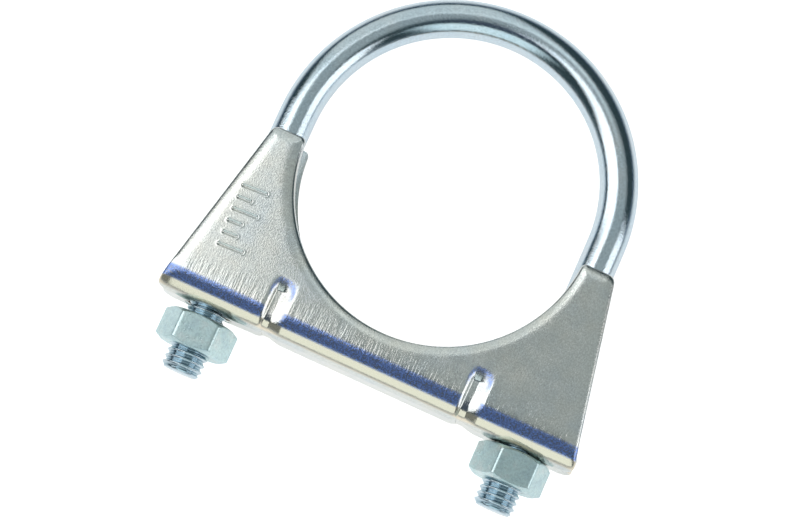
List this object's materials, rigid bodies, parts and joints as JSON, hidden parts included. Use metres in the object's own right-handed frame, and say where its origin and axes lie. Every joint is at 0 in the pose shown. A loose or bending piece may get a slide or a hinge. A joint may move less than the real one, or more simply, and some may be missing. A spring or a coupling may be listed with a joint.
{
  "type": "u-bolt pipe clamp",
  "caption": "U-bolt pipe clamp: round rod bent to a U with threaded legs, a folded steel saddle with a curved seat, and hexagon nuts that draw the saddle onto the pipe.",
  "frame": {"origin": "middle of the clamp's length and width, on the plane of the saddle's back cheek, which the clamp lies on", "axes": "+Z along the axis of the clamped pipe, from the back cheek to the front cheek; +Y along the legs, from the nuts to the bow; +X along the saddle, from the left leg to the right leg"},
  "size_m": [0.0854, 0.0906, 0.0146],
  "materials": {
    "zinc_rod": "bright blue-white zinc plate on drawn steel rod, glossy, with fine speckle",
    "zinc_sheet": "bright zinc plate on pressed steel sheet, fine grain, warm grey silver",
    "zinc_nut": "satin blue-green zinc plate on a cold-formed steel nut"
  },
  "bodies": {
    "u_bolt": {"u_bolt": "zinc_rod"},
    "saddle": {"saddle": "zinc_sheet"},
    "nut_left": {"nut_left": "zinc_nut"},
    "nut_right": {"nut_right": "zinc_nut"}
  },
  "joints": [
    {"name": "saddle_slide", "type": "slide", "parent": "u_bolt", "child": "saddle", "axis": [0, 1, 0], "range_m": [-0.0045, 0.014]},
    {"name": "nut_left_turn", "type": "hinge", "parent": "saddle", "child": "nut_left", "pos_m": [-0.0321, -0.03742, 0.0073], "axis": [0, 1, 0], "range_deg": [-1300, 4040]},
    {"name": "nut_right_turn", "type": "hinge", "parent": "saddle", "child": "nut_right", "pos_m": [0.0321, -0.03692, 0.0073], "axis": [0, 1, 0], "range_deg": [-1300, 4040]}
  ],
  "couplings": [
    {"joint": "nut_left_turn", "follows": "saddle_slide", "rad_per_m": 5026.5},
    {"joint": "nut_right_turn", "follows": "saddle_slide", "rad_per_m": 5026.5}
  ]
}
